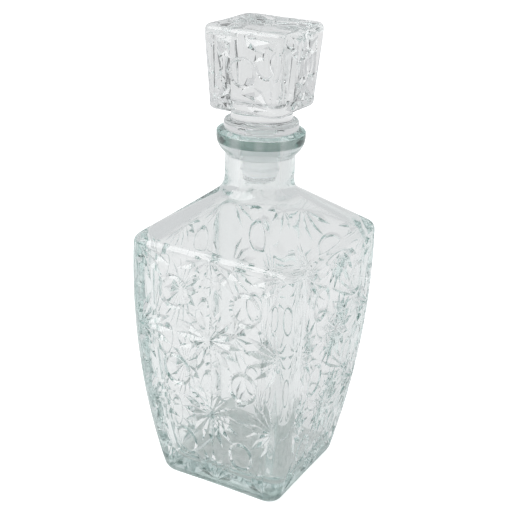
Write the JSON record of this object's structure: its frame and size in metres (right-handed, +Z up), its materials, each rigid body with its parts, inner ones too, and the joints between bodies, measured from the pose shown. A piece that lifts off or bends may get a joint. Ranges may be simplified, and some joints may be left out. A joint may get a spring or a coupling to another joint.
{
  "type": "decanter",
  "caption": "Square-shouldered moulded-glass spirit decanter with star-cut panels, a round collared neck and a lift-out square glass stopper that seats on a soft ribbed sleeve.",
  "frame": {"origin": "middle of the foot, on the surface it stands on", "axes": "+Z up through the neck; the four panels face along +X, -X, +Y and -Y"},
  "size_m": [0.095, 0.095, 0.239],
  "materials": {
    "bottle_glass": "clear, slightly green, fire-polished",
    "stopper_glass": "clear, slightly green, fire-polished",
    "seal": "milky translucent polythene"
  },
  "bodies": {
    "bottle": {"bottle": "bottle_glass"},
    "seal": {"stopper_seal": "seal"},
    "stopper": {"stopper": "stopper_glass"}
  },
  "joints": [
    {"name": "stopper_lift", "type": "slide", "parent": "bottle", "child": "seal", "axis": [0, 0, 1], "range_m": [0, 0.06]},
    {"name": "stopper_turn", "type": "hinge", "parent": "seal", "child": "stopper", "pos_m": [0, 0, 0.176], "axis": [0, 0, 1], "continuous": true}
  ]
}
